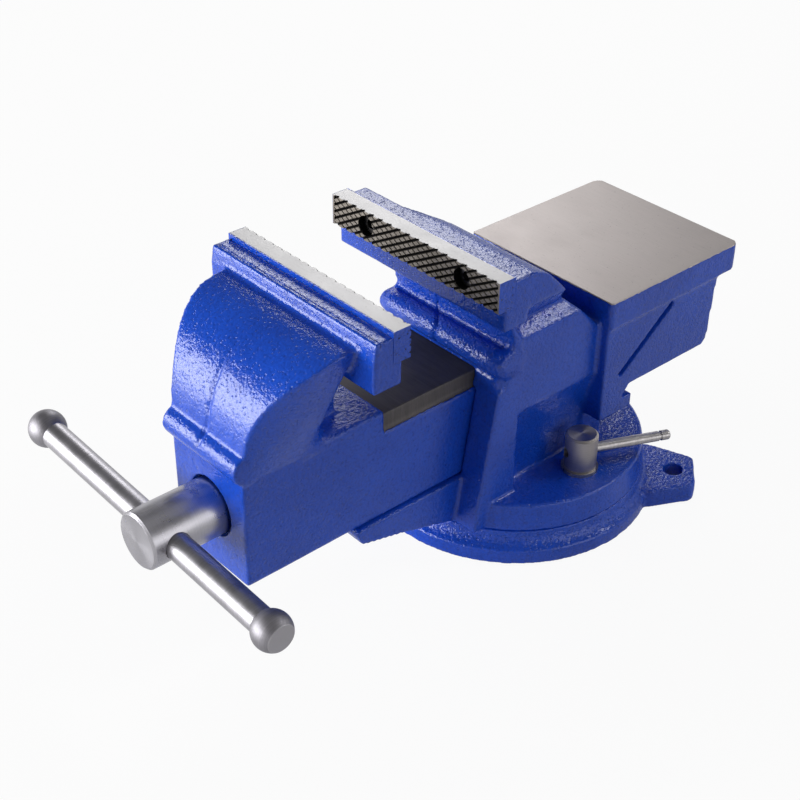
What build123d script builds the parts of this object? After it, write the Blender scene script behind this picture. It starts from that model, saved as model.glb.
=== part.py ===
from build123d import *
import os
from math import cos, sin, radians

# Bench vise with a swivel base. Millimetres, +Z up, jaws across X, screw along Y.
# The origin is the swivel axis at the underside of the base. The handle is at -Y, the anvil at +Y.

# Heights, stacked from the bench upwards
base_height = 19.0
swivel_gap = 0.1
table_height = 16.6
bed_height = 13.0
slide_clearance = 0.35
slide_height = 62.2
throat_depth = 74.9
screw_rise = 34.0

# Jaws and plates
jaw_width = 125.0
jaw_gap = 56.7
plate_height = 17.0
plate_thickness = 10.0
plate_proud = 3.0
plate_overhang = 5.0
plate_edge = 0.6
block_wall = 12.2
block_depth = 12.6
fixed_face_reach = 79.4
fixed_lip_depth = 12.6

# Plate screws, socket heads sunk in the plates
plate_screw_spacing = 72.0
plate_screw_radius = 3.0
plate_screw_head_radius = 5.0
plate_screw_head_height = 4.4
plate_screw_sink = 8.0
plate_screw_sink_radius = 5.75
plate_screw_grip = 9.5
plate_screw_key = 5.0
plate_screw_key_depth = 2.2
bolt_clearance = 0.05
tap_run_out = 1.0

# Slide and moving jaw
slide_width = 57.8
guide_inset = 2.5
guide_height = 10.0
channel_width = 40.0
channel_roof = 8.2
slide_tail = 50.0
front_wall = 25.0
nose_depth = 51.9
nose_width = 101.2
nose_rise = 64.7
nose_corner = 44.5
nose_corner_turn = 62.0
nose_shoulder = 12.0
nose_setback = 1.0
nose_relief = 9.0
bead_radius = 8.0
bead_proud = 5.0
bead_end = 0.6
web_width = 26.0
rough_top = 3.3
rough_length = 36.0
front_corner = 1.5
casting_lap = 1.0

# Fixed jaw trunk, tongue, anvil and tail hood
trunk_width = 93.0
trunk_foot_reach = 73.0
trunk_head_reach = 58.0
trunk_rear = 33.0
trunk_rear_width = 80.0
foot_gap = 1.5
neck_reach = 49.5
brow_radius = 7.2
brow_rise = 3.0
brow_overhang = 3.0
brow_reach = 62.5
jaw_ledge = 12.4
hump_radius = 20.0
hump_turn = 45.0
neck_wall = 6.0
trunk_rise = 15.5
waist_width = 76.0
waist_rise = 7.0
flare_drop = 4.0
flare_reach = 58.0
tongue_width = 62.0
tongue_reach = 143.5
tongue_nose = 10.0
tongue_keel = 17.0
tongue_keel_reach = 110.0
tongue_corner = 3.0
anvil_width = 108.2
anvil_length = 108.1
anvil_thickness = 16.5
anvil_front = 16.5
anvil_rise = 22.8
anvil_corner = 5.0
anvil_front_corner = 2.0
hood_width = 106.0
hood_length = 93.0
hood_height = 44.5
hood_wall = 9.0
hood_rake = 3.0
hood_corner = 7.0
lip_drop = 60.0
lip_thickness = 8.5
lip_reach = 26.0
lip_corner = 3.5
cove_depth = 9.0
cove_height = 52.0
cove_front = 43.0
groove_width = 3.6
groove_depth = 3.0
groove_length = 52.0
groove_angle = 38.0
groove_reach = 34.0
groove_drop = 19.0

# Swivel table and base
table_radius = 77.0
table_foot_radius = 79.0
base_radius = 84.2
base_rim = 9.0
base_bevel = 3.0
base_bevel_rise = 2.0
base_cove = 8.0
spigot_radius = 20.0
spigot_height = 8.0
spigot_clearance = 0.2
ear_count = 2
ear_angle = 42.0
ear_reach = 109.6
ear_hole_reach = 97.0
ear_hole_radius = 5.5
ear_thickness = 12.0
ear_root = 47.0
ear_tip = 27.4
ear_corner = 4.0

# Swivel locks: headed bolt, washer, T-nut and lever
lock_reach = 55.3
lock_bolt_radius = 5.0
lock_bolt_play = 0.3
slot_neck = 12.0
slot_depth = 15.0
slot_width = 22.0
slot_roof = 8.0
tee_width = 20.0
tee_thickness = 6.0
tee_length = 11.0
tee_play = 0.3
lock_washer_radius = 10.5
lock_washer_thickness = 2.0
lock_head_radius = 9.2
lock_head_height = 21.4
lock_head_chamfer = 1.2
lock_lever_rise = 9.8
lock_lever_radius = 2.9
lock_lever_reach = 54.0
lock_lever_tail = 3.0
lock_lever_angle = 65.6
lever_groove_depth = 0.6
lever_groove_width = 1.6
lever_groove_back = 7.0
lever_tip_round = 1.5
seat_gap = 0.1
running_gap = 0.08

# Lead screw, its thrust pieces and the spindle nut
head_radius = 15.2
head_length = 42.3
head_chamfer = 1.2
head_sink = 8.0
head_sink_radius = 16.5
journal_radius = 12.0
journal_run = 2.0
thread_radius = 11.0
screw_tail = 46.0
screw_tip_chamfer = 2.0
thrust_washer_thickness = 2.0
thrust_washer_radius = 15.8
spring_wire = 2.4
spring_radius = 15.2
spring_length = 22.0
spring_pitch = 4.4
spring_washer_radius = 18.0
spring_washer_thickness = 3.0
cross_pin_radius = 2.5
cross_pin_length = 34.0
nut_width = 36.0
nut_length = 45.0
nut_front = 70.0
nut_crown = 17.0
nut_clearance = 0.25
nut_bolt_radius = 5.0
nut_bolt_spacing = 25.0
nut_bolt_across_flats = 16.0
nut_bolt_head = 7.0
nut_bolt_sink = 9.0
nut_bolt_sink_radius = 10.5
nut_bolt_grip = 15.0

# Handle
handle_radius = 7.0
handle_setback = 13.4
handle_length = 190.0
handle_offset = -8.0
handle_tilt = 2.5
handle_play = 0.2
knob_radius = 10.1
knob_flat = 6.9
knob_spigot_radius = 5.0
knob_spigot_length = 8.0

# Levels worked out from the heights
table_bottom = base_height + swivel_gap
table_top = table_bottom + table_height
bed_top = table_top + bed_height
slide_bottom = bed_top + slide_clearance
slide_top = slide_bottom + slide_height
guide_bottom = slide_top - guide_height
screw_z = slide_bottom + screw_rise
plate_top = slide_top + throat_depth
plate_bottom = plate_top - plate_height
plate_middle = plate_bottom + plate_height / 2
ledge_top = plate_top - plate_proud
moving_block_bottom = plate_bottom - block_depth
nose_top = slide_top + nose_rise
anvil_top = slide_top + anvil_rise
anvil_bottom = anvil_top - anvil_thickness
hood_bottom = anvil_bottom - hood_height
lip_bottom = anvil_bottom - lip_drop
foot_bottom = base_height + foot_gap

# Stations along Y worked out from the jaw faces
fixed_face = -fixed_face_reach
fixed_plate_back = fixed_face + plate_thickness
fixed_block_front = fixed_face + plate_overhang
moving_face = fixed_face - jaw_gap
moving_plate_back = moving_face - plate_thickness
moving_block_rear = moving_face - plate_overhang
block_front = moving_plate_back - block_wall
front_face = block_front - nose_depth
rough_rear = block_front + rough_length
wall_back = front_face + front_wall
head_front = front_face - head_length
head_back = front_face + head_sink - thrust_washer_thickness - seat_gap
spring_front = wall_back + seat_gap
spring_back = spring_front + spring_length
handle_y = head_front + handle_setback
anvil_rear = anvil_front + anvil_length
hood_rear = anvil_front + hood_length
nut_rear = nut_length - nut_front


# Swivel base: a round casting with bolt ears, a ring slot for the T-nuts and a centre spigot
slot_floor = base_height - slot_depth
slot_shelf = base_height - slot_roof
bevel_radius = base_radius - base_bevel
bevel_top = base_rim + base_bevel_rise
with BuildPart() as swivel_base:
    with BuildSketch(Plane.XZ):
        with BuildLine():
            Polyline((0, 0), (base_radius, 0), (base_radius, base_rim), (bevel_radius, bevel_top))
            RadiusArc((bevel_radius, bevel_top), (table_foot_radius, base_height), base_cove)
            Polyline(
                (table_foot_radius, base_height),
                (spigot_radius, base_height),
                (spigot_radius, base_height + spigot_height),
                (0, base_height + spigot_height),
                (0, 0),
            )
        make_face()
    revolve(axis=Axis.Z)
    # Bolt ears, tapered towards a blunt end
    for ear in range(ear_count):
        with BuildSketch(Plane.XY.rotated((0, 0, ear_angle + ear * 360 / ear_count))):
            with BuildLine():
                FilletPolyline(
                    (base_radius / 2, ear_root / 2),
                    (base_radius, ear_root / 2),
                    (ear_reach, ear_tip / 2),
                    (ear_reach, -ear_tip / 2),
                    (base_radius, -ear_root / 2),
                    (base_radius / 2, -ear_root / 2),
                    radius=ear_corner,
                    close=True,
                )
            make_face()
            with Locations((ear_hole_reach, 0)):
                Circle(ear_hole_radius, mode=Mode.SUBTRACT)
        extrude(amount=ear_thickness)
    # Ring slot, wide below and narrow above, with one entry hole for the T-nuts
    with BuildSketch(Plane.XZ):
        with Locations((lock_reach, (slot_floor + slot_shelf) / 2)):
            Rectangle(slot_width, slot_shelf - slot_floor)
        with Locations((lock_reach, base_height)):
            Rectangle(slot_neck, slot_roof * 2)
    revolve(axis=Axis.Z, mode=Mode.SUBTRACT)
    with BuildSketch(Plane.XY.offset(slot_floor)):
        with Locations((0, lock_reach)):
            Circle(slot_width / 2)
    extrude(amount=slot_depth, mode=Mode.SUBTRACT)
swivel_base.part.label = "swivel_base"


# Corners of the slide's section, whose top is stepped in as guides, grown by the running play
def slide_corners(play):
    half = slide_width / 2 + play
    guide_half = half - guide_inset
    low = slide_bottom - play
    step = guide_bottom + play
    top = slide_top + play
    right_side = [(half, low), (half, step), (guide_half, step), (guide_half, top)]
    left_side = [(-x, z) for x, z in reversed(right_side)]
    return right_side + left_side


# Nose of the moving jaw: flares from the slide up to the jaw block under a rolled top
nose_start = front_face + nose_setback
nose_blank = nose_start - casting_lap
nose_rear = block_front + casting_lap
nose_half = nose_width / 2
shoulder_y = block_front - nose_shoulder
slide_half = slide_width / 2
roll_radius = nose_depth - nose_setback
with BuildPart() as nose:
    with BuildSketch(Plane.XY.offset(slide_top)):
        with BuildLine():
            Polyline(
                (slide_half - nose_relief, nose_rear),
                (nose_relief - slide_half, nose_rear),
                (-slide_half, nose_rear - nose_relief),
                (-slide_half, shoulder_y),
                (-slide_half, nose_blank),
                (slide_half, nose_blank),
                (slide_half, shoulder_y),
                (slide_half, nose_rear - nose_relief),
                close=True,
            )
        make_face()
    with BuildSketch(Plane.XY.offset(nose_top + casting_lap)):
        with BuildLine():
            left = JernArc((-nose_half, shoulder_y), (0, -1), nose_corner, nose_corner_turn)
            right = JernArc((nose_half, shoulder_y), (0, -1), nose_corner, -nose_corner_turn)
            Line(left @ 1, right @ 1)
            Polyline(
                right @ 0,
                (nose_half, block_front),
                (nose_half - casting_lap, nose_rear),
                (casting_lap - nose_half, nose_rear),
                (-nose_half, block_front),
                left @ 0,
            )
        make_face()
    loft(ruled=True)
    # The rolled top, a quarter round about a line across the jaw, cut from the blank
    with BuildSketch(Plane.YZ):
        with BuildLine():
            Line((nose_rear + casting_lap, nose_top), (block_front, nose_top))
            JernArc((block_front, nose_top), (-1, 0), roll_radius, 90)
            Polyline(
                (nose_start, nose_top - roll_radius),
                (nose_start, slide_top - casting_lap),
                (nose_rear + casting_lap, slide_top - casting_lap),
                (nose_rear + casting_lap, nose_top),
            )
        make_face()
    extrude(amount=jaw_width, both=True, mode=Mode.INTERSECT)


# Moving jaw casting: slide, nose, jaw block and the web that ties them
with BuildPart() as moving_jaw_body:
    with BuildSketch(Plane.XZ.offset(-slide_tail)):
        with BuildLine():
            Polyline(*slide_corners(0), close=True)
        make_face()
    extrude(amount=slide_tail - rough_rear)
    # Front of the slide, with rounded lower corners
    with BuildSketch(Plane.XZ.offset(-rough_rear)) as front_section:
        with Locations((0, slide_bottom)):
            Rectangle(slide_width, slide_height, align=(Align.CENTER, Align.MIN))
        fillet(front_section.vertices().group_by(Axis.Y)[0], front_corner)
    extrude(amount=rough_rear - front_face)
    add(nose.part)
    with BuildSketch(Plane.XY.offset(slide_top)):
        with Locations((0, nose_rear - nose_relief)):
            Rectangle(slide_width, rough_rear - nose_rear + nose_relief, align=(Align.CENTER, Align.MIN))
    extrude(amount=rough_top)
    # Half-round bead across the front, under the rolled top
    with BuildSketch(Plane.YZ):
        with Locations((front_face - bead_proud + bead_radius, slide_top + bead_radius)):
            Circle(bead_radius)
    extrude(amount=slide_half + bead_end, both=True)
    # Jaw block, rebated for the plate
    with BuildSketch(Plane.YZ):
        with BuildLine():
            Polyline(
                (block_front, moving_block_bottom),
                (block_front, ledge_top),
                (moving_plate_back, ledge_top),
                (moving_plate_back, plate_bottom),
                (moving_block_rear, plate_bottom),
                (moving_block_rear, moving_block_bottom),
                close=True,
            )
        make_face()
    extrude(amount=jaw_width / 2, both=True)
    with BuildSketch(Plane.XY.offset(guide_bottom)):
        with Locations((0, block_front)):
            Rectangle(web_width, moving_block_rear - block_front, align=(Align.CENTER, Align.MIN))
    extrude(amount=moving_block_bottom - guide_bottom + casting_lap)
    # Channel along the underside, for the screw and its nut
    with BuildSketch(Plane.XZ.offset(-slide_tail)):
        with Locations((0, slide_bottom)):
            Rectangle(channel_width, slide_height - channel_roof, align=(Align.CENTER, Align.MIN))
    extrude(amount=slide_tail - wall_back, mode=Mode.SUBTRACT)
    # Bore for the screw's journal, and the sink that takes its head
    with BuildSketch(Plane.XZ.offset(-wall_back)):
        with Locations((0, screw_z)):
            Circle(journal_radius + running_gap)
    extrude(amount=front_wall, mode=Mode.SUBTRACT)
    with BuildSketch(Plane.XZ.offset(-front_face)):
        with Locations((0, screw_z)):
            Circle(head_sink_radius)
    extrude(amount=-head_sink, mode=Mode.SUBTRACT)
    # Tapped holes behind the plate
    with BuildSketch(Plane.XZ.offset(-moving_plate_back)):
        with Locations((0, plate_middle)):
            with GridLocations(plate_screw_spacing, 0, 2, 1):
                Circle(plate_screw_radius + bolt_clearance)
    extrude(amount=plate_screw_grip + tap_run_out, mode=Mode.SUBTRACT)
moving_jaw_body.part.label = "moving_jaw_body"


# Fixed jaw casting: swivel table, trunk with the slide tunnel, jaw block, anvil and tail hood
trunk_half = trunk_width / 2
neck_radius = -fixed_block_front - neck_reach
lip_edge = plate_bottom - fixed_lip_depth
neck_foot = lip_edge - neck_radius
trunk_top = anvil_bottom + trunk_rise
waist_z = trunk_top + waist_rise
flare_top = plate_bottom - flare_drop
ledge_rear = fixed_plate_back + jaw_ledge
brow_y = -brow_reach + brow_radius
brow_z = slide_top + brow_rise + brow_radius
crown_rear = ledge_rear + hump_radius * sin(radians(hump_turn))
crown_foot = ledge_top - hump_radius * (1 - cos(radians(hump_turn)))
back_run = (anvil_front - crown_rear) / (crown_foot - anvil_bottom)
cove_radius = (cove_height ** 2 + cove_depth ** 2) / (2 * cove_depth)
cavity_roof = slide_top + slide_clearance


# Where the sloped back of the fixed jaw stands at a height
def back_y(z):
    return anvil_front - back_run * (z - anvil_bottom)


with BuildPart() as fixed_jaw_body:
    with BuildSketch(Plane.XZ):
        with BuildLine():
            Polyline(
                (0, table_bottom),
                (table_foot_radius, table_bottom),
                (table_radius, table_top),
                (0, table_top),
                close=True,
            )
        make_face()
    revolve(axis=Axis.Z)
    # Trunk, raked forwards at the foot and hollowed at the neck
    with BuildSketch(Plane.YZ):
        with BuildLine():
            Polyline(
                (anvil_front, foot_bottom),
                (-trunk_foot_reach, foot_bottom),
                (-trunk_head_reach, slide_top),
                (-neck_reach, brow_z),
                (-neck_reach, neck_foot),
            )
            JernArc((-neck_reach, neck_foot), (0, 1), neck_radius, 90)
            Polyline(
                (fixed_block_front, lip_edge),
                (-flare_reach, lip_edge),
                (neck_wall - neck_reach, trunk_top),
                (back_y(trunk_top), trunk_top),
                (anvil_front, anvil_bottom),
                (anvil_front, foot_bottom),
            )
        make_face()
    extrude(amount=trunk_half, both=True)
    # Rolled brow over the mouth of the tunnel
    with BuildSketch(Plane.YZ):
        with Locations((brow_y, brow_z)):
            Circle(brow_radius)
    extrude(amount=trunk_half + brow_overhang, both=True)
    # Coves at the foot of the trunk leave room to turn the lock bolts
    with BuildSketch(Plane.XZ.offset(-anvil_front)) as cove:
        with Locations((trunk_half - cove_depth, table_top)):
            Rectangle(cove_depth * 2, cove_height, align=(Align.MIN, Align.MIN))
        with Locations((trunk_half - cove_depth + cove_radius, table_top)):
            Circle(cove_radius, mode=Mode.INTERSECT)
        mirror(about=Plane.YZ)
    extrude(amount=anvil_front + cove_front, mode=Mode.SUBTRACT)
    with BuildSketch(Plane.XY.offset(table_top)):
        with Locations((0, anvil_front)):
            Rectangle(trunk_rear_width, trunk_rear - anvil_front, align=(Align.CENTER, Align.MIN))
    extrude(amount=hood_bottom - table_top + casting_lap)
    # Jaw block with its ledge and rolled back, flared from a waist on top of the trunk
    with BuildSketch(Plane.YZ):
        with BuildLine():
            Polyline(
                (back_y(flare_top), flare_top),
                (-flare_reach, flare_top),
                (-flare_reach, lip_edge),
                (fixed_block_front, lip_edge),
                (fixed_block_front, plate_bottom),
                (fixed_plate_back, plate_bottom),
                (fixed_plate_back, ledge_top),
                (ledge_rear, ledge_top),
            )
            crown = JernArc((ledge_rear, ledge_top), (1, 0), hump_radius, -hump_turn)
            Line(crown @ 1, (back_y(flare_top), flare_top))
        make_face()
    extrude(amount=jaw_width / 2, both=True)
    for width, front_y, z in (
        (trunk_width, -neck_reach, trunk_top),
        (waist_width, -neck_reach, waist_z),
        (jaw_width, -flare_reach, flare_top),
    ):
        with BuildSketch(Plane.XY.offset(z)):
            with Locations((0, front_y)):
                Rectangle(width, back_y(z) - front_y, align=(Align.CENTER, Align.MIN))
    loft(ruled=True)
    # Tongue that carries the slide in front of the trunk
    with BuildSketch(Plane.YZ):
        with BuildLine():
            FilletPolyline(
                (-trunk_head_reach, bed_top),
                (-tongue_reach, bed_top),
                (-tongue_reach + tongue_nose / 2, bed_top - tongue_nose),
                (-tongue_keel_reach, bed_top - tongue_keel),
                (-trunk_foot_reach, foot_bottom),
                (-trunk_head_reach, foot_bottom),
                radius=tongue_corner,
                close=True,
            )
        make_face()
    extrude(amount=tongue_width / 2, both=True)
    # Tail hood over the slide's rear end, with a rolled lip along its foot
    with BuildSketch(Plane.YZ):
        with BuildLine():
            Polyline(
                (anvil_front, lip_bottom),
                (anvil_front, anvil_bottom + casting_lap),
                (hood_rear, anvil_bottom + casting_lap),
                (hood_rear - hood_rake, hood_bottom),
                (anvil_front + lip_reach - lip_corner, hood_bottom),
                (trunk_rear, lip_bottom + lip_thickness),
                (anvil_front + lip_reach, lip_bottom + lip_thickness),
                (anvil_front + lip_reach, lip_bottom),
                close=True,
            )
        hood_face = make_face()
        rear_low = hood_face.vertices().group_by(Axis.X)[-2]
        fillet(rear_low, hood_corner)
    extrude(amount=hood_width / 2, both=True)
    # Anvil
    with BuildSketch(Plane.XY.offset(anvil_bottom)) as anvil_sketch:
        with Locations((0, anvil_front)):
            Rectangle(anvil_width, anvil_length, align=(Align.CENTER, Align.MIN))
        fillet(anvil_sketch.vertices().group_by(Axis.Y)[-1], anvil_corner)
        fillet(anvil_sketch.vertices().group_by(Axis.Y)[0], anvil_front_corner)
    extrude(amount=anvil_thickness)
    # Slanted grooves in the hood's sides
    with BuildSketch(Plane.YZ.offset(hood_width / 2)):
        with Locations((anvil_front + groove_reach, anvil_bottom - groove_drop)):
            SlotOverall(groove_length, groove_width, rotation=groove_angle)
    extrude(amount=-groove_depth, mode=Mode.SUBTRACT)
    with BuildSketch(Plane.YZ.offset(-hood_width / 2)):
        with Locations((anvil_front + groove_reach, anvil_bottom - groove_drop)):
            SlotOverall(groove_length, groove_width, rotation=groove_angle)
    extrude(amount=groove_depth, mode=Mode.SUBTRACT)
    # Tunnel for the slide, and the hood's wider hollow behind the trunk
    with BuildSketch(Plane.XZ.offset(-anvil_rear)):
        with BuildLine():
            Polyline(*slide_corners(slide_clearance), close=True)
        make_face()
    extrude(amount=anvil_rear + trunk_foot_reach + brow_radius, mode=Mode.SUBTRACT)
    with BuildSketch(Plane.XY.offset(cavity_roof)):
        with Locations((0, trunk_rear)):
            Rectangle(hood_width - hood_wall * 2, hood_length, align=(Align.CENTER, Align.MIN))
    extrude(amount=lip_bottom - cavity_roof, mode=Mode.SUBTRACT)
    # Seat for the base's spigot, and holes for the lock bolts
    with BuildSketch(Plane.XY.offset(table_bottom)):
        Circle(spigot_radius + spigot_clearance)
    extrude(amount=spigot_height + spigot_clearance, mode=Mode.SUBTRACT)
    with BuildSketch(Plane.XY.offset(table_bottom)):
        with PolarLocations(lock_reach, 2):
            Circle(lock_bolt_radius + lock_bolt_play)
    extrude(amount=table_height, mode=Mode.SUBTRACT)
    # Sunk holes for the bolts that hold the spindle nut
    with BuildSketch(Plane.XY.offset(table_bottom)):
        with Locations((0, -nut_front + nut_length / 2)):
            with GridLocations(0, nut_bolt_spacing, 1, 2):
                Circle(nut_bolt_radius + bolt_clearance)
    extrude(amount=bed_top - table_bottom, mode=Mode.SUBTRACT)
    with BuildSketch(Plane.XY.offset(table_bottom)):
        with Locations((0, -nut_front + nut_length / 2)):
            with GridLocations(0, nut_bolt_spacing, 1, 2):
                Circle(nut_bolt_sink_radius)
    extrude(amount=nut_bolt_sink, mode=Mode.SUBTRACT)
    # Tapped holes behind the plate
    with BuildSketch(Plane.XZ.offset(-fixed_plate_back)):
        with Locations((0, plate_middle)):
            with GridLocations(plate_screw_spacing, 0, 2, 1):
                Circle(plate_screw_radius + bolt_clearance)
    extrude(amount=-plate_screw_grip - tap_run_out, mode=Mode.SUBTRACT)
fixed_jaw_body.part.label = "fixed_jaw_body"


# Jaw plate and its two screws, seen from the gripping face, which looks along the way given
def jaw_plate(face_y, way, label):
    back_y = face_y - way * plate_thickness
    with BuildPart() as plate:
        with BuildSketch(Plane.XZ.offset(-back_y)):
            with Locations((0, plate_middle)):
                Rectangle(jaw_width, plate_height)
        extrude(amount=-way * plate_thickness)
        chamfer(plate.faces().sort_by(Axis.Y)[-1 if way > 0 else 0].edges(), plate_edge)
        with BuildSketch(Plane.XZ.offset(-back_y)):
            with Locations((0, plate_middle)):
                with GridLocations(plate_screw_spacing, 0, 2, 1):
                    Circle(plate_screw_radius + bolt_clearance)
        extrude(amount=-way * plate_thickness, mode=Mode.SUBTRACT)
        with BuildSketch(Plane.XZ.offset(-face_y)):
            with Locations((0, plate_middle)):
                with GridLocations(plate_screw_spacing, 0, 2, 1):
                    Circle(plate_screw_sink_radius)
        extrude(amount=way * plate_screw_sink, mode=Mode.SUBTRACT)
    plate.part.label = label
    return plate.part


def plate_screws(face_y, way, label):
    seat_y = face_y - way * plate_screw_sink
    tip_y = face_y - way * (plate_thickness + plate_screw_grip)
    crown_y = seat_y + way * plate_screw_head_height
    with BuildPart() as screws:
        with BuildSketch(Plane.XZ.offset(-seat_y)):
            with Locations((0, plate_middle)):
                with GridLocations(plate_screw_spacing, 0, 2, 1):
                    Circle(plate_screw_head_radius)
        extrude(amount=-way * plate_screw_head_height)
        with BuildSketch(Plane.XZ.offset(-seat_y)):
            with Locations((0, plate_middle)):
                with GridLocations(plate_screw_spacing, 0, 2, 1):
                    Circle(plate_screw_radius)
        extrude(amount=seat_y - tip_y)
        with BuildSketch(Plane.XZ.offset(-crown_y)):
            with Locations((0, plate_middle)):
                with GridLocations(plate_screw_spacing, 0, 2, 1):
                    RegularPolygon(plate_screw_key / 2, 6, major_radius=False)
        extrude(amount=way * plate_screw_key_depth, mode=Mode.SUBTRACT)
    screws.part.label = label
    return screws.part


fixed_jaw_plate = jaw_plate(fixed_face, -1, "fixed_jaw_plate")
fixed_plate_screws = plate_screws(fixed_face, -1, "fixed_plate_screws")
moving_jaw_plate = jaw_plate(moving_face, 1, "moving_jaw_plate")
moving_plate_screws = plate_screws(moving_face, 1, "moving_plate_screws")


# Spindle nut: a block with a round crown that stands on the bed inside the slide's channel
bolt_tip = bed_top + nut_bolt_grip
with BuildPart() as spindle_nut:
    with BuildSketch(Plane.XZ.offset(-nut_rear)):
        with Locations((0, bed_top)):
            Rectangle(nut_width, screw_z - bed_top, align=(Align.CENTER, Align.MIN))
        with Locations((0, screw_z)):
            Circle(nut_crown)
        with Locations((0, screw_z)):
            Circle(thread_radius + nut_clearance, mode=Mode.SUBTRACT)
    extrude(amount=nut_length)
    with BuildSketch(Plane.XY.offset(bed_top)):
        with Locations((0, -nut_front + nut_length / 2)):
            with GridLocations(0, nut_bolt_spacing, 1, 2):
                Circle(nut_bolt_radius + bolt_clearance)
    extrude(amount=nut_bolt_grip + tap_run_out, mode=Mode.SUBTRACT)
spindle_nut.part.label = "spindle_nut"

bolt_seat = table_bottom + nut_bolt_sink
with BuildPart() as nut_bolts:
    with BuildSketch(Plane.XY.offset(bolt_seat - nut_bolt_head)):
        with Locations((0, -nut_front + nut_length / 2)):
            with GridLocations(0, nut_bolt_spacing, 1, 2):
                RegularPolygon(nut_bolt_across_flats / 2, 6, major_radius=False)
    extrude(amount=nut_bolt_head)
    with BuildSketch(Plane.XY.offset(bolt_seat)):
        with Locations((0, -nut_front + nut_length / 2)):
            with GridLocations(0, nut_bolt_spacing, 1, 2):
                Circle(nut_bolt_radius)
    extrude(amount=bolt_tip - bolt_seat)
nut_bolts.part.label = "nut_bolts"


# Lead screw with its round head, bored across for the handle
bar_way = (cos(radians(handle_tilt)), 0, -sin(radians(handle_tilt)))
bar_plane = Plane(origin=(0, handle_y, screw_z), x_dir=(0, 1, 0), z_dir=bar_way)
pin_y = spring_back + spring_washer_thickness + cross_pin_radius
with BuildPart() as lead_screw:
    with BuildSketch(Plane.YZ):
        with BuildLine():
            Polyline(
                (head_front, screw_z),
                (head_front, screw_z + head_radius - head_chamfer),
                (head_front + head_chamfer, screw_z + head_radius),
                (head_back, screw_z + head_radius),
                (head_back, screw_z + journal_radius),
                (wall_back + journal_run, screw_z + journal_radius),
                (wall_back + journal_run, screw_z + thread_radius),
                (screw_tail - screw_tip_chamfer, screw_z + thread_radius),
                (screw_tail, screw_z + thread_radius - screw_tip_chamfer),
                (screw_tail, screw_z),
                close=True,
            )
        make_face()
    revolve(axis=Axis((0, 0, screw_z), (0, 1, 0)))
    with BuildSketch(bar_plane):
        Circle(handle_radius + handle_play)
    extrude(amount=head_radius * 2, both=True, mode=Mode.SUBTRACT)
    with BuildSketch(Plane.XY.offset(screw_z)):
        with Locations((0, pin_y)):
            Circle(cross_pin_radius + bolt_clearance)
    extrude(amount=journal_radius * 2, both=True, mode=Mode.SUBTRACT)
lead_screw.part.label = "lead_screw"

with BuildPart() as thrust_washer:
    with BuildSketch(Plane.XZ.offset(-head_back)):
        with Locations((0, screw_z)):
            Circle(thrust_washer_radius)
            Circle(journal_radius + running_gap, mode=Mode.SUBTRACT)
    extrude(amount=-thrust_washer_thickness)
thrust_washer.part.label = "thrust_washer"

# Take-up spring, one round wire wound about the screw
coil_front = (0, spring_front + spring_wire / 2, screw_z)
with BuildPart() as take_up_spring:
    with BuildLine() as coil:
        Helix(spring_pitch, spring_length - spring_wire, spring_radius, coil_front, (0, 1, 0))
    with BuildSketch(Plane(origin=coil.line @ 0, z_dir=coil.line % 0)):
        Circle(spring_wire / 2)
    sweep(path=coil.line, is_frenet=True)
take_up_spring.part.label = "take_up_spring"
print("spring turns clear each other by", round(spring_pitch - spring_wire, 2))

with BuildPart() as spring_washer:
    with BuildSketch(Plane.XZ.offset(-spring_back)):
        with Locations((0, screw_z)):
            Circle(spring_washer_radius)
            Circle(thread_radius + running_gap, mode=Mode.SUBTRACT)
    extrude(amount=-spring_washer_thickness)
spring_washer.part.label = "spring_washer"

with BuildPart() as cross_pin:
    with BuildSketch(Plane.XY.offset(screw_z)):
        with Locations((0, pin_y)):
            Circle(cross_pin_radius)
    extrude(amount=cross_pin_length / 2, both=True)
cross_pin.part.label = "cross_pin"


# Handle: a bar that slides through the screw head, with a truncated ball on each end
knob_neck = (knob_radius ** 2 - handle_radius ** 2) ** 0.5
half_bar = handle_length / 2 - knob_neck
with BuildPart() as handle_bar:
    with BuildSketch(bar_plane.offset(handle_offset)):
        Circle(handle_radius)
    extrude(amount=half_bar, both=True)
    with BuildSketch(bar_plane.offset(handle_offset)):
        Circle(knob_spigot_radius)
    extrude(amount=half_bar + knob_spigot_length, both=True)
handle_bar.part.label = "handle_bar"


def handle_knob(way, label):
    middle = bar_plane.offset(handle_offset + way * handle_length / 2)
    with BuildPart() as knob:
        with BuildSketch(Plane(origin=middle.origin, x_dir=bar_way, z_dir=(0, 1, 0))):
            with BuildLine():
                flat_half = (knob_radius ** 2 - knob_flat ** 2) ** 0.5
                Line((-way * knob_neck, 0), (-way * knob_neck, handle_radius))
                ThreePointArc(
                    (-way * knob_neck, handle_radius),
                    (0, knob_radius),
                    (way * knob_flat, flat_half),
                )
                Polyline((way * knob_flat, flat_half), (way * knob_flat, 0), (-way * knob_neck, 0))
            make_face()
        revolve(axis=Axis(middle.origin, bar_way))
        with BuildSketch(bar_plane.offset(handle_offset + way * half_bar)):
            Circle(knob_spigot_radius + bolt_clearance)
        extrude(amount=way * (knob_spigot_length + seat_gap), mode=Mode.SUBTRACT)
    knob.part.label = label
    return knob.part


handle_knob_left = handle_knob(-1, "handle_knob_left")
handle_knob_right = handle_knob(1, "handle_knob_right")


# Swivel locks, one on each side of the trunk: a headed bolt that screws into a T-nut in the slot
washer_top = table_top + lock_washer_thickness
lock_bottom = washer_top + seat_gap
lever_z = lock_bottom + lock_lever_rise
tee_top = slot_shelf - tee_play


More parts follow.
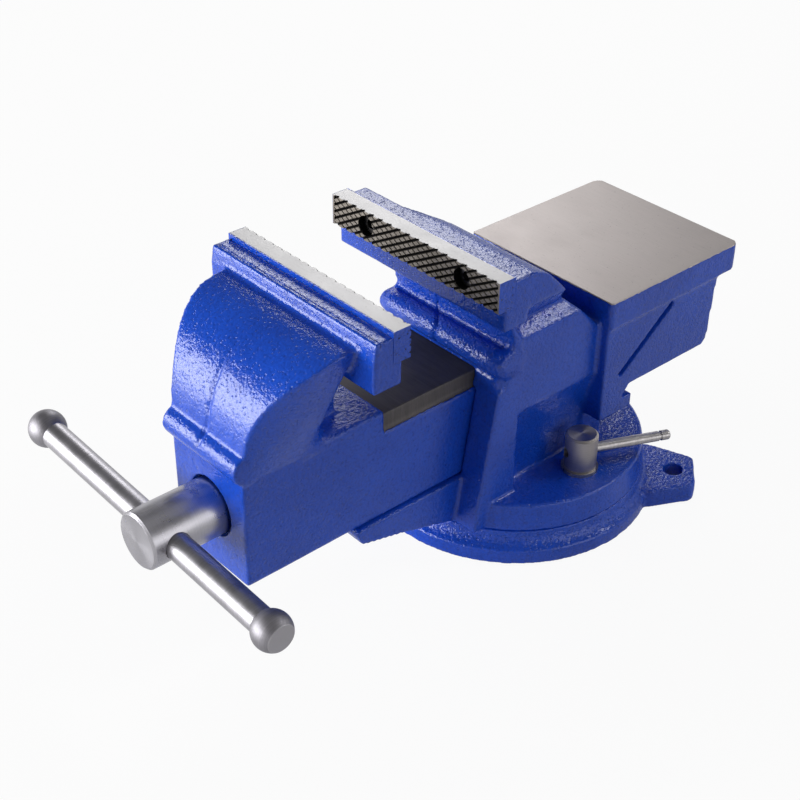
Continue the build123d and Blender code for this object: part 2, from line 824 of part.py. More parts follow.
def t_nut(x, label):
    with BuildPart() as nut:
        with BuildSketch(Plane.XY.offset(tee_top - tee_thickness)):
            with Locations((x, 0)):
                Rectangle(tee_width, tee_length)
                Circle(lock_bolt_radius + bolt_clearance, mode=Mode.SUBTRACT)
        extrude(amount=tee_thickness)
    nut.part.label = label
    return nut.part


def lock_washer(x, label):
    with BuildPart() as washer:
        with BuildSketch(Plane.XY.offset(table_top)):
            with Locations((x, 0)):
                Circle(lock_washer_radius)
                Circle(lock_bolt_radius + lock_bolt_play, mode=Mode.SUBTRACT)
        extrude(amount=lock_washer_thickness)
    washer.part.label = label
    return washer.part


def lever_plane(x, angle):
    way = (cos(radians(angle)), sin(radians(angle)), 0)
    return Plane(origin=(x, 0, lever_z), x_dir=(0, 0, 1), z_dir=way)


def lock_bolt(x, angle, label):
    with BuildPart() as bolt:
        with BuildSketch(Plane.XY.offset(lock_bottom)):
            with Locations((x, 0)):
                Circle(lock_head_radius)
        extrude(amount=lock_head_height)
        chamfer(bolt.faces().sort_by(Axis.Z)[-1].edges(), lock_head_chamfer)
        with BuildSketch(Plane.XY.offset(tee_top - tee_thickness)):
            with Locations((x, 0)):
                Circle(lock_bolt_radius)
        extrude(amount=lock_bottom - tee_top + tee_thickness)
        with BuildSketch(lever_plane(x, angle)):
            Circle(lock_lever_radius + running_gap)
        extrude(amount=lock_head_radius * 2, both=True, mode=Mode.SUBTRACT)
    bolt.part.label = label
    return bolt.part


def lock_lever(x, angle, label):
    plane = lever_plane(x, angle)
    with BuildPart() as lever:
        with BuildSketch(plane.offset(-lock_lever_tail)):
            Circle(lock_lever_radius)
        extrude(amount=lock_lever_reach + lock_lever_tail)
        tip = lever.faces().sort_by(Axis(plane.origin, plane.z_dir))[-1]
        fillet(tip.edges(), lever_tip_round)
        with BuildSketch(plane.offset(lock_lever_reach - lever_groove_back)):
            Circle(lock_lever_radius)
            Circle(lock_lever_radius - lever_groove_depth, mode=Mode.SUBTRACT)
        extrude(amount=lever_groove_width, mode=Mode.SUBTRACT)
    lever.part.label = label
    return lever.part


pieces = [
    swivel_base.part,
    fixed_jaw_body.part,
    fixed_jaw_plate,
    fixed_plate_screws,
    spindle_nut.part,
    nut_bolts.part,
    moving_jaw_body.part,
    moving_jaw_plate,
    moving_plate_screws,
    lead_screw.part,
    thrust_washer.part,
    take_up_spring.part,
    spring_washer.part,
    cross_pin.part,
    handle_bar.part,
    handle_knob_left,
    handle_knob_right,
]
for side, x, angle in (
    ("right", lock_reach, lock_lever_angle),
    ("left", -lock_reach, 180 - lock_lever_angle),
):
    pieces.append(t_nut(x, "t_nut_" + side))
    pieces.append(lock_washer(x, "lock_washer_" + side))
    pieces.append(lock_bolt(x, angle, "lock_bolt_" + side))
    pieces.append(lock_lever(x, angle, "lock_lever_" + side))

os.makedirs("parts", exist_ok=True)
for piece in pieces:
    export_step(piece, "parts/" + piece.label + ".step")
    print(piece.label, round(piece.volume), len(piece.solids()))
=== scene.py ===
from math import radians

import bpy
import numpy as np
from mathutils import Matrix, Vector


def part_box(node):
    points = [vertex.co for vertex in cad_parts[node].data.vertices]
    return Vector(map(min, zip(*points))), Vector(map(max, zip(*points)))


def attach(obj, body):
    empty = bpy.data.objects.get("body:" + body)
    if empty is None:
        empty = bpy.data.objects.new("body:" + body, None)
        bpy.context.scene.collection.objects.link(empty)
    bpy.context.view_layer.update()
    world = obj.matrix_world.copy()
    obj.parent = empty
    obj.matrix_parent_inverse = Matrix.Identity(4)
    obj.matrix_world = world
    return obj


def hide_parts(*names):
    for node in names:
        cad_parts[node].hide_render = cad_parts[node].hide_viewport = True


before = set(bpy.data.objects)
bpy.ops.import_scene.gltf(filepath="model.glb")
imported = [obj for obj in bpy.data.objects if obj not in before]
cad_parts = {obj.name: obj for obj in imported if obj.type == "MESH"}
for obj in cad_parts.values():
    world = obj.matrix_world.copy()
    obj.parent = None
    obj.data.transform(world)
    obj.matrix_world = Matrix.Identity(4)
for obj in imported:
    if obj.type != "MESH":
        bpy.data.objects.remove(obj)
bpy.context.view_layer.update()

print("frame loaded:", len(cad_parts), "nodes")


# Small helpers for objects

def deselectAll():
    if bpy.context.object and bpy.context.object.mode != "OBJECT":
        bpy.ops.object.mode_set(mode="OBJECT")
    bpy.ops.object.select_all(action="DESELECT")


def activate(piece):
    deselectAll()
    piece.select_set(True)
    bpy.context.view_layer.objects.active = piece


def startEdit(piece, pick="SELECT"):
    activate(piece)
    bpy.ops.object.mode_set(mode="EDIT")
    bpy.ops.mesh.select_all(action=pick)


def endEdit():
    bpy.ops.object.mode_set(mode="OBJECT")


def applyModifier(piece, kind, **settings):
    activate(piece)
    modifier = piece.modifiers.new(kind.lower(), kind)
    for key, value in settings.items():
        setattr(modifier, key, value)
    bpy.ops.object.modifier_apply(modifier=modifier.name)


def pointsOf(piece):
    flat = np.zeros(len(piece.data.vertices) * 3, np.float32)
    piece.data.vertices.foreach_get("co", flat)
    return flat.reshape(-1, 3)


def weigh(piece, name, weights):
    group = piece.vertex_groups.new(name=name)
    steps = np.rint(np.clip(weights, 0, 1) * 16).astype(int)
    for step in range(1, 17):
        picked = np.flatnonzero(steps == step)
        if len(picked):
            group.add(picked.tolist(), step / 16, "REPLACE")
    return group.name


def inBoxes(points, boxes):
    inside = np.zeros(len(points), bool)
    for low, high in boxes:
        inside |= np.all((points > low) & (points < high), axis=1)
    return inside


def triangleCount(piece):
    piece.data.calc_loop_triangles()
    return len(piece.data.loop_triangles)


def copyOfNode(nodeName, pieceName):
    piece = bpy.data.objects.new(pieceName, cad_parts[nodeName].data.copy())
    bpy.context.scene.collection.objects.link(piece)
    piece.data.materials.clear()
    startEdit(piece)
    bpy.ops.mesh.remove_doubles(threshold=0.000002)
    endEdit()
    bpy.ops.mesh.customdata_custom_splitnormals_clear()
    return piece


# Small helpers for nodes

def addNode(tree, kind, feeds=None, **settings):
    node = tree.nodes.new("ShaderNode" + kind)
    for key, value in settings.items():
        setattr(node, key, value)
    for key, value in (feeds or {}).items():
        if isinstance(value, bpy.types.NodeSocket):
            tree.links.new(value, node.inputs[key])
        else:
            node.inputs[key].default_value = value
    return node


def mathNode(tree, operation, a, b=0.0, clamp=False):
    return addNode(tree, "Math", {0: a, 1: b}, operation=operation, use_clamp=clamp).outputs[0]


def mixColor(tree, factor, a, b, blend="MIX"):
    feeds = {"Factor": factor, 6: a, 7: b}
    return addNode(tree, "Mix", feeds, data_type="RGBA", blend_type=blend).outputs[2]


def mixValue(tree, factor, a, b):
    return addNode(tree, "Mix", {"Factor": factor, 2: a, 3: b}).outputs[0]


def rampNode(tree, factor, low, high, fromValue=0.0, toValue=1.0):
    feeds = {"Value": factor, "From Min": low, "From Max": high, "To Min": fromValue, "To Max": toValue}
    return addNode(tree, "MapRange", feeds).outputs[0]


def noiseNode(tree, vector, scale, detail=2.0, rough=0.5):
    feeds = {"Vector": vector, "Scale": scale, "Detail": detail, "Roughness": rough}
    return addNode(tree, "TexNoise", feeds).outputs[0]


def stripeNode(tree, value, pitch):
    feeds = {"W": mathNode(tree, "MULTIPLY", value, pitch), "Scale": 1.0, "Detail": 2.0}
    return addNode(tree, "TexNoise", feeds, noise_dimensions="1D").outputs[0]


def weighted(tree, *shares):
    total = None
    for value, share in shares:
        part = mathNode(tree, "MULTIPLY", value, share)
        total = part if total is None else mathNode(tree, "ADD", total, part)
    return total


def darken(tree, color, value):
    grey = addNode(tree, "CombineColor", {0: value, 1: value, 2: value}).outputs[0]
    return mixColor(tree, 1.0, color, grey, "MULTIPLY")


def newGroup(name, inputs, outputs):
    group = bpy.data.node_groups.new(name, "ShaderNodeTree")
    for label, kind, value in inputs:
        socket = group.interface.new_socket(label, in_out="INPUT", socket_type="NodeSocket" + kind)
        socket.default_value = value
    for label, kind in outputs:
        group.interface.new_socket(label, in_out="OUTPUT", socket_type="NodeSocket" + kind)
    return group, group.nodes.new("NodeGroupInput").outputs, group.nodes.new("NodeGroupOutput").inputs


def placeGroup(tree, group, feeds):
    node = tree.nodes.new("ShaderNodeGroup")
    node.node_tree = group
    for key, value in feeds.items():
        if isinstance(value, bpy.types.NodeSocket):
            tree.links.new(value, node.inputs[key])
        else:
            node.inputs[key].default_value = value
    return node.outputs


def newMaterial(name):
    material = bpy.data.materials.new(name)
    material.use_nodes = True
    tree = material.node_tree
    shader = tree.nodes["Principled BSDF"]
    place = addNode(tree, "TexCoord").outputs["Object"]
    return material, tree, shader, place


def bumpInto(tree, shader, height, strength, distance):
    feeds = {"Height": height, "Strength": strength, "Distance": distance}
    tree.links.new(addNode(tree, "Bump", feeds).outputs[0], shader.inputs["Normal"])


# Shader group: 1 inside a box, 0 outside, with an edge that wanders a little
def buildBoxMask():
    group, start, end = newGroup(
        "boxMask",
        [
            ("Vector", "Vector", (0, 0, 0)),
            ("Low", "Vector", (0, 0, 0)),
            ("High", "Vector", (1, 1, 1)),
            ("Edge", "Float", 0.0003),
            ("Wander", "Float", 0.0),
        ],
        [("Mask", "Float")],
    )
    above = addNode(group, "VectorMath", {0: start["Vector"], 1: start["Low"]}, operation="SUBTRACT")
    below = addNode(group, "VectorMath", {0: start["High"], 1: start["Vector"]}, operation="SUBTRACT")
    least = addNode(group, "VectorMath", {0: above.outputs[0], 1: below.outputs[0]}, operation="MINIMUM")
    split = addNode(group, "SeparateXYZ", {0: least.outputs[0]}).outputs
    depth = mathNode(group, "MINIMUM", mathNode(group, "MINIMUM", split[0], split[1]), split[2])
    ragged = noiseNode(group, start["Vector"], 260.0, 3.0)
    shift = mathNode(group, "MULTIPLY", mathNode(group, "SUBTRACT", ragged, 0.5), start["Wander"])
    inside = mathNode(group, "DIVIDE", mathNode(group, "ADD", depth, shift), start["Edge"], clamp=True)
    group.links.new(inside, end["Mask"])
    return group


# Shader group: glossy enamel over rough cast iron, with pinholes; the colour carries painted shade in the
# pinholes and in the hollows of the orange peel
enamel = {
    "light": (0.008, 0.076, 0.58, 1),
    "dark": (0.006, 0.062, 0.50, 1),
    "peelScale": 620.0,
    "pitScale": 520.0,
    "sandScale": 240.0,
    "patchScale": 24.0,
    "peel": 0.25,
    "pits": 0.12,
    "sand": 0.22,
    "pitRough": 0.18,
    "leastRough": 0.16,
    "mostRough": 0.21,
    "relief": 0.0011,
    "sandier": 2.2,
}


def buildEnamel():
    group, start, end = newGroup(
        "castEnamel",
        [("Vector", "Vector", (0, 0, 0))],
        [("Color", "Color"), ("Roughness", "Float"), ("Height", "Float")],
    )
    place = start["Vector"]
    peel = noiseNode(group, place, enamel["peelScale"])
    cells = addNode(group, "TexVoronoi", {"Vector": place, "Scale": enamel["pitScale"]}).outputs
    sand = noiseNode(group, place, enamel["sandScale"])
    broad = noiseNode(group, place, enamel["patchScale"])
    chance = addNode(group, "SeparateColor", {0: cells["Color"]}).outputs[0]
    size = rampNode(group, chance, 0.1, 1.0, 0.12, 0.46)
    flat = rampNode(group, mathNode(group, "DIVIDE", cells["Distance"], size), 0.45, 1.0)  # 0 in a pinhole
    height = weighted(group, (peel, enamel["peel"]), (flat, enamel["pits"]), (sand, enamel["sand"]))
    group.links.new(height, end["Height"])
    tone = mixColor(group, rampNode(group, broad, 0.35, 0.65), enamel["dark"], enamel["light"])
    # Painted shade: the colour is darkened in the hollows of the orange peel and in the pinholes
    peelHollowShade = rampNode(group, peel, 0.32, 0.55, 0.8, 1.0)
    pinholeShade = rampNode(group, flat, 0.0, 1.0, 0.85, 1.0)
    paintedHollowShade = mathNode(group, "MULTIPLY", peelHollowShade, pinholeShade)
    group.links.new(darken(group, tone, paintedHollowShade), end["Color"])
    gloss = rampNode(group, sand, 0.3, 0.7, enamel["leastRough"], enamel["mostRough"])
    group.links.new(mixValue(group, flat, enamel["pitRough"], gloss), end["Roughness"])
    return group


# Shader group: machined or ground bare iron, with fine tool lines along one axis
def buildMachined():
    group, start, end = newGroup(
        "machinedIron",
        [
            ("Vector", "Vector", (0, 0, 0)),
            ("Light", "Color", (0.5, 0.5, 0.5, 1)),
            ("Dark", "Color", (0.3, 0.3, 0.3, 1)),
            ("Lines", "Vector", (2600, 60, 60)),
            ("Rough", "Float", 0.42),
        ],
        [("Color", "Color"), ("Roughness", "Float"), ("Height", "Float")],
    )
    place = start["Vector"]
    stretched = addNode(group, "VectorMath", {0: place, 1: start["Lines"]}, operation="MULTIPLY").outputs[0]
    lines = noiseNode(group, stretched, 1.0, 3.0, 0.6)
    cloud = noiseNode(group, place, 48.0, 4.0, 0.6)
    speck = noiseNode(group, place, 900.0, 1.0)
    blend = weighted(group, (lines, 0.55), (cloud, 0.45))
    body = mixColor(group, rampNode(group, blend, 0.36, 0.64), start["Dark"], start["Light"])
    pits = rampNode(group, speck, 0.22, 0.3, 0.7, 1.0)
    group.links.new(darken(group, body, pits), end["Color"])
    patchy = rampNode(group, cloud, 0.3, 0.7, -0.03, 0.03)
    group.links.new(mathNode(group, "ADD", start["Rough"], patchy), end["Roughness"])
    height = mathNode(group, "ADD", lines, mathNode(group, "MULTIPLY", pits, 0.6))
    group.links.new(height, end["Height"])
    return group


# Shader group: marks of turning about the Z axis of the vector it is given
def buildLathe():
    group, start, end = newGroup(
        "latheMarks",
        [
            ("Vector", "Vector", (0, 0, 0)),
            ("Light", "Color", (0.6, 0.6, 0.6, 1)),
            ("Dark", "Color", (0.4, 0.4, 0.4, 1)),
            ("Pitch", "Float", 2600.0),
            ("Rough", "Float", 0.3),
        ],
        [("Color", "Color"), ("Roughness", "Float"), ("Height", "Float")],
    )
    split = addNode(group, "SeparateXYZ", {0: start["Vector"]}).outputs
    flat = addNode(group, "CombineXYZ", {0: split[0], 1: split[1], 2: 0.0}).outputs[0]
    radius = addNode(group, "VectorMath", {0: flat}, operation="LENGTH").outputs["Value"]
    along = stripeNode(group, split[2], start["Pitch"])
    across = stripeNode(group, radius, start["Pitch"])
    rings = weighted(group, (along, 0.5), (across, 0.5))
    smear = noiseNode(group, start["Vector"], 70.0, 4.0, 0.6)
    tone = rampNode(group, weighted(group, (rings, 0.6), (smear, 0.4)), 0.38, 0.62)
    group.links.new(mixColor(group, tone, start["Dark"], start["Light"]), end["Color"])
    patchy = rampNode(group, smear, 0.3, 0.7, -0.06, 0.06)
    group.links.new(mathNode(group, "ADD", start["Rough"], patchy), end["Roughness"])
    group.links.new(rings, end["Height"])
    return group


boxMask = buildBoxMask()
castEnamel = buildEnamel()
machinedIron = buildMachined()
latheMarks = buildLathe()
print("shader groups built")


# Enamel with bare machined places and places left rough by the sand, each a box in the part's own frame
def enamelMaterial(name, bare=None, rough=()):
    material, tree, shader, place = newMaterial(name)
    paint = placeGroup(tree, castEnamel, {"Vector": place})
    color, roughness, height = paint["Color"], paint["Roughness"], paint["Height"]
    for low, high in rough:
        box = placeGroup(tree, boxMask, {"Vector": place, "Low": low, "High": high, "Edge": 0.003})
        more = rampNode(tree, box["Mask"], 0.0, 1.0, 1.0, enamel["sandier"])
        height = mathNode(tree, "MULTIPLY", height, more)
    if bare:
        iron = placeGroup(tree, machinedIron, {
            "Vector": place, "Light": bare["light"], "Dark": bare["dark"],
            "Lines": bare["lines"], "Rough": bare["rough"],
        })
        mask = placeGroup(tree, boxMask, {
            "Vector": place, "Low": bare["low"], "High": bare["high"], "Edge": 0.0002, "Wander": 0.0012,
        })["Mask"]
        color = mixColor(tree, mask, color, iron["Color"])
        roughness = mixValue(tree, mask, roughness, iron["Roughness"])
        height = mixValue(tree, mask, height, mathNode(tree, "MULTIPLY", iron["Height"], 0.03))
        tree.links.new(mathNode(tree, "MULTIPLY", mask, 0.9), shader.inputs["Metallic"])
    tree.links.new(color, shader.inputs["Base Color"])
    tree.links.new(roughness, shader.inputs["Roughness"])
    bumpInto(tree, shader, height, 1.0, enamel["relief"])
    return material


# Steel turned about an axis; spin names the axis its lathe marks run round, and the face colour, when given,
# paints the outer end brighter: partly a faced finish, partly a painted highlight on that end
def latheMaterial(name, axisPoint, turn, look, spin=None, litFace=None):
    material, tree, shader, place = newMaterial(name)
    centred = addNode(tree, "VectorMath", {0: place, 1: axisPoint}, operation="SUBTRACT").outputs[0]
    turned = addNode(tree, "Mapping", {"Vector": centred, "Rotation": turn}).outputs[0]
    marks = placeGroup(tree, latheMarks, {
        "Vector": turned, "Light": look["light"], "Dark": look["dark"],
        "Pitch": look["pitch"], "Rough": look["rough"],
    })
    if spin:
        around = addNode(tree, "Tangent", direction_type="RADIAL", axis=spin)
        tree.links.new(around.outputs[0], shader.inputs["Tangent"])
        shader.inputs["Anisotropic"].default_value = 0.7
    color = marks["Color"]
    if litFace:
        along = mathNode(tree, "ABSOLUTE", addNode(tree, "SeparateXYZ", {0: turned}).outputs[2])
        onFace = rampNode(tree, along, litFace["from"], litFace["from"] + 0.0002)
        color = mixColor(tree, onFace, color, litFace["color"])
    tree.links.new(color, shader.inputs["Base Color"])
    tree.links.new(marks["Roughness"], shader.inputs["Roughness"])
    shader.inputs["Metallic"].default_value = 1.0
    bumpInto(tree, shader, marks["Height"], look["relief"], 0.0002)
    return material


# Castings: copies of the solids, remeshed so that every edge gets the round of a sand casting
castings = {
    "voxel": 0.001,
    "smoothRounds": 4,
    "ripple": 0.00025,
    "rippleSize": 0.009,
    "seamWidth": 0.0011,
    "mostTriangles": 190000,
}
ripples = bpy.data.textures.new("castRipples", "CLOUDS")
ripples.noise_scale = castings["rippleSize"]
ripples.noise_depth = 1


def startCasting(nodeName, pieceName, held, still, rounder):
    piece = copyOfNode(nodeName, pieceName)
    applyModifier(piece, "REMESH", mode="VOXEL", voxel_size=castings["voxel"])
    points = pointsOf(piece)
    fast = inBoxes(points, held)
    soft = weigh(piece, "soft", ~fast)
    applyModifier(piece, "SMOOTH", factor=0.5, iterations=castings["smoothRounds"], vertex_group=soft)
    for low, high, rounds in rounder:
        mellow = weigh(piece, "rounder", inBoxes(points, [(low, high)]) & ~fast)
        applyModifier(piece, "SMOOTH", factor=0.5, iterations=rounds, vertex_group=mellow)
    loose = weigh(piece, "loose", ~fast & ~inBoxes(points, still))
    applyModifier(
        piece, "DISPLACE", texture=ripples, texture_coords="LOCAL",
        strength=castings["ripple"], mid_level=0.5, vertex_group=loose,
    )
    return piece


def push(piece, name, weights, way, direction="NORMAL"):
    group = weigh(piece, name, weights)
    applyModifier(piece, "DISPLACE", strength=way, mid_level=0.0, direction=direction, vertex_group=group)


def pushSeam(piece, offset, share, depth):
    push(piece, "seam", np.exp(-(offset / castings["seamWidth"]) ** 2) * share, -depth)


def finishCasting(piece, body, node):
    many = triangleCount(piece)
    if many > castings["mostTriangles"]:
        applyModifier(piece, "DECIMATE", ratio=castings["mostTriangles"] / many)
    piece.vertex_groups.clear()
    activate(piece)
    bpy.ops.object.shade_smooth()
    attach(piece, body)
    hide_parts(node)
    print(piece.name, "triangles", triangleCount(piece))


def aroundPlate(node):
    low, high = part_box(node)
    return (tuple(c - 0.0025 for c in low), tuple(c + 0.0025 for c in high))


slideTop = 0.11125
anvilTop = 0.13405

# Fixed jaw: anvil ground flat, left end of the rolled back low, mould seam down the neck, slots in the hood
fixedCare = {
    "held": [
        ((-0.056, 0.0155, anvilTop - 0.0007), (0.056, 0.126, anvilTop + 0.002)),
        aroundPlate("fixed_jaw_plate"),
    ],
    "still": [
        ((-0.031, -0.070, 0.046), (0.031, 0.056, 0.1135)),
        ((-0.046, 0.030, 0.05), (0.046, 0.118, 0.1135)),
    ],
    "rounder": [
        ((-0.070, -0.066, 0.142), (-0.034, 0.014, 0.168), 16),
        ((0.034, -0.066, 0.142), (0.070, 0.014, 0.168), 16),
        ((-0.062, -0.068, 0.106), (-0.040, -0.040, 0.133), 220),
        ((0.040, -0.068, 0.106), (0.062, -0.040, 0.133), 220),
    ],
    "rough": [((-0.060, -0.070, 0.112), (0.058, -0.042, 0.146))],
    "lowEnd": {
        "x": (-0.038, -0.032, -0.026, -0.020, -0.014, -0.004),
        "share": (1.0, 0.58, 0.35, 0.24, 0.11, 0.0),
        "startY": -0.0572, "fadeY": 0.010, "startZ": 0.135, "fadeZ": 0.03, "depth": 0.008,
    },
    "seam": {
        "y": (-0.0601, -0.0568, -0.0495), "x": (-0.0005, -0.0034, -0.0113),
        "rangeY": (-0.064, -0.046), "rangeZ": (0.116, 0.146), "depth": 0.0012,
    },
    "slot": {
        "x": 0.046, "y": 0.0505, "z": 0.09855,
        "slant": 38, "half": 0.0256, "width": 0.0015, "deeper": 0.0030,
    },
    "anvil": {
        "low": (-0.0545, 0.0160, anvilTop - 0.0005), "high": (0.0545, 0.1252, 0.2),
        "light": (0.475, 0.435, 0.425, 1), "dark": (0.43, 0.393, 0.385, 1),
        "lines": (60, 1500, 60), "rough": 0.52,
    },
}
fixedCasting = startCasting(
    "fixed_jaw_body", "fixedCasting", fixedCare["held"], fixedCare["still"], fixedCare["rounder"])
x, y, z = pointsOf(fixedCasting).T
lowEnd = fixedCare["lowEnd"]
sunk = np.interp(x, lowEnd["x"], lowEnd["share"])
sunk = sunk * np.clip((y - lowEnd["startY"]) / lowEnd["fadeY"], 0, 1)
sunk = sunk * np.clip((z - lowEnd["startZ"]) / lowEnd["fadeZ"], 0, 1)
push(fixedCasting, "lowEnd", sunk, -lowEnd["depth"], "Z")
seam = fixedCare["seam"]
onNeck = (y > seam["rangeY"][0]) & (y < seam["rangeY"][1]) & (z > seam["rangeZ"][0]) & (z < seam["rangeZ"][1])
pushSeam(fixedCasting, x - np.interp(y, seam["y"], seam["x"]), onNeck, seam["depth"])
slot = fixedCare["slot"]
tilt = radians(slot["slant"])
beside = (z - slot["z"]) * np.cos(tilt) - (y - slot["y"]) * np.sin(tilt)
along = (y - slot["y"]) * np.cos(tilt) + (z - slot["z"]) * np.sin(tilt)
inSlot = np.exp(-(beside / slot["width"]) ** 4) * (np.abs(along) < slot["half"])
push(fixedCasting, "slotRight", inSlot * (x > slot["x"]), -slot["deeper"], "X")
push(fixedCasting, "slotLeft", inSlot * (x < -slot["x"]), slot["deeper"], "X")
fixedCasting.data.materials.append(enamelMaterial("enamelFixed", fixedCare["anvil"], fixedCare["rough"]))
finishCasting(fixedCasting, "fixed_jaw", "fixed_jaw_body")

# Moving jaw: slide machined on top, mould seam down the nose, lumpy pad behind the web
movingCare = {
    "held": [
        ((-0.0285, -0.1222, slideTop - 0.0007), (0.0285, 0.052, slideTop + 0.002)),
        aroundPlate("moving_jaw_plate"),
    ],
    "still": [((-0.031, -0.120, 0.046), (0.031, 0.056, 0.1135))],
    "rounder": [
        ((-0.036, -0.176, 0.104), (-0.010, -0.146, 0.132), 60),
        ((0.010, -0.176, 0.104), (0.036, -0.146, 0.132), 60),
    ],
    "rough": [((-0.036, -0.176, 0.1085), (0.036, -0.1226, 0.134))],
    "draft": {"startZ": 0.1745, "fadeZ": 0.0085, "rangeY": (-0.1595, -0.1553), "reach": 0.0016},
    "seam": {
        "z": (0.129, 0.1364, 0.148, 0.1564, 0.1675), "x": (-0.0003, 0.0005, -0.0003, -0.0019, -0.0017),
        "frontOf": -0.180, "rangeZ": (0.121, 0.169), "endZ": 0.1675, "fadeZ": 0.022, "depth": 0.0012,
    },
    "guide": {
        "low": (-0.0295, -0.1222, 0.1013), "high": (0.0295, 0.052, slideTop + 0.002),
        "light": (0.14, 0.13, 0.13, 1), "dark": (0.10, 0.092, 0.094, 1),
        "lines": (60, 900, 60), "rough": 0.66,
    },
}
movingCasting = startCasting(
    "moving_jaw_body", "movingCasting", movingCare["held"], movingCare["still"], movingCare["rounder"])
x, y, z = pointsOf(movingCasting).T
draft = movingCare["draft"]
leaning = np.clip((z - draft["startZ"]) / draft["fadeZ"], 0, 1)
leaning = leaning * (y < draft["rangeY"][1]) * (y > draft["rangeY"][0])
push(movingCasting, "draft", leaning, draft["reach"], "Y")
seam = movingCare["seam"]
path = np.interp(z, seam["z"], seam["x"]) + 0.0004 * np.sin(z * 620)  # wanders a little
onNose = (y < seam["frontOf"]) & (z > seam["rangeZ"][0]) & (z < seam["rangeZ"][1])
faint = (0.85 + 0.15 * np.sin(z * 410 + 1)) * np.clip((seam["endZ"] - z) / seam["fadeZ"], 0, 1)
pushSeam(movingCasting, x - path, onNose * faint, seam["depth"])
movingCasting.data.materials.append(enamelMaterial("enamelMoving", movingCare["guide"], movingCare["rough"]))
finishCasting(movingCasting, "moving_jaw", "moving_jaw_body")

# Swivel base, flat underneath
baseCare = {
    "still": [((-0.2, -0.2, -0.01), (0.2, 0.2, 0.0022))],
    "rounder": [((-0.2, -0.2, -0.01), (0.2, 0.2, 0.006), 14)],
    "rough": [((-0.09, -0.09, 0.0090), (0.09, 0.09, 0.0185))],
}
baseCasting = startCasting("swivel_base", "baseCasting", [], baseCare["still"], baseCare["rounder"])
baseCasting.data.materials.append(enamelMaterial("enamelBase", rough=baseCare["rough"]))
finishCasting(baseCasting, "base", "swivel_base")
print("castings made")


# Jaw plates: a bar milled with two families of vee grooves that cross, then drilled
plateCut = {
    "pitch": 0.0069,
    "slant": 30,
    "shift": 0.0029,
    "count": 29,
    "grooveLength": 0.044,
    "wide": {"width": 0.0016, "depth": 0.0013, "turn": 1},
    "narrow": {"width": 0.0009, "depth": 0.0008, "turn": -1},
    "seated": 0.0006,
    "screwX": 0.036,
    "sinkRadius": 0.00575,
    "sinkDepth": 0.008,
    "boreRadius": 0.00305,
    "boreDepth": 0.02,
    "endSlab": 0.0012,
    "ground": {
        "Light": (0.49, 0.485, 0.49, 1), "Dark": (0.45, 0.445, 0.45, 1),
        "Lines": (40, 1400, 40), "Rough": 0.5,
    },
    "teeth": {
        "Light": (0.27, 0.245, 0.215, 1), "Dark": (0.13, 0.115, 0.10, 1),
        "Lines": (300, 300, 1200),
    },
    # Near-black colour of the groove floors: painted shade inside the vee grooves
    "groove": (0.016, 0.015, 0.016, 1),
}


def cutAway(piece, cutter):
    applyModifier(piece, "BOOLEAN", object=cutter, operation="DIFFERENCE", solver="EXACT")
    bpy.data.objects.remove(cutter)


def makeFixedPlate():
    low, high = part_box("fixed_jaw_plate")
    middle = (low + high) / 2
    seat = Vector((0, plateCut["seated"], 0))
    deselectAll()
    bpy.ops.mesh.primitive_cube_add(size=1, location=middle + seat / 2)
    plate = bpy.context.object
    plate.name = "fixedPlate"
    plate.scale = high - low + seat
    bpy.ops.object.transform_apply(location=True, rotation=False, scale=True)
    for cut in (plateCut["wide"], plateCut["narrow"]):
        deselectAll()
        bpy.ops.mesh.primitive_cylinder_add(vertices=3, radius=1, depth=plateCut["grooveLength"])
        groove = bpy.context.object
        groove.scale = (cut["width"] * 1.155, cut["depth"] * 1.333, 1)
        bpy.ops.object.transform_apply(location=False, rotation=False, scale=True)
        groove.rotation_euler = (0, cut["turn"] * radians(90 - plateCut["slant"]), 0)
        first = plateCut["shift"] - plateCut["pitch"] * (plateCut["count"] - 1) / 2
        groove.location = (first, low.y - cut["depth"] / 3, middle.z)
        bpy.ops.object.transform_apply(location=True, rotation=True, scale=False)
        applyModifier(
            groove, "ARRAY", count=plateCut["count"], use_relative_offset=False,
            use_constant_offset=True, constant_offset_displace=(plateCut["pitch"], 0, 0),
        )
        cutAway(plate, groove)
    sink = (plateCut["sinkRadius"], plateCut["sinkDepth"])
    bore = (plateCut["boreRadius"], plateCut["boreDepth"])
    for side in (-1, 1):
        for radius, depth in (sink, bore):
            deselectAll()
            bpy.ops.mesh.primitive_cylinder_add(
                vertices=48, radius=radius, depth=depth * 2, rotation=(radians(90), 0, 0),
                location=(side * plateCut["screwX"], low.y, middle.z))
            cutter = bpy.context.object
            bpy.ops.object.transform_apply(location=True, rotation=True, scale=False)
            cutAway(plate, cutter)
    return plate


# The grooves stop short of the fixed plate's ends
def closeEnds(plate):
    low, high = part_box("fixed_jaw_plate")
    middle = (low + high) / 2
    thick = plateCut["endSlab"]
    for side in (-1, 1):
        deselectAll()
        bpy.ops.mesh.primitive_cube_add(size=1, location=(side * (high.x - thick / 2), middle.y, middle.z))
        slab = bpy.context.object
        slab.scale = (thick, high.y - low.y, high.z - low.z)
        bpy.ops.object.transform_apply(location=True, rotation=False, scale=True)
        applyModifier(plate, "BOOLEAN", object=slab, operation="UNION", solver="EXACT")
        bpy.data.objects.remove(slab)


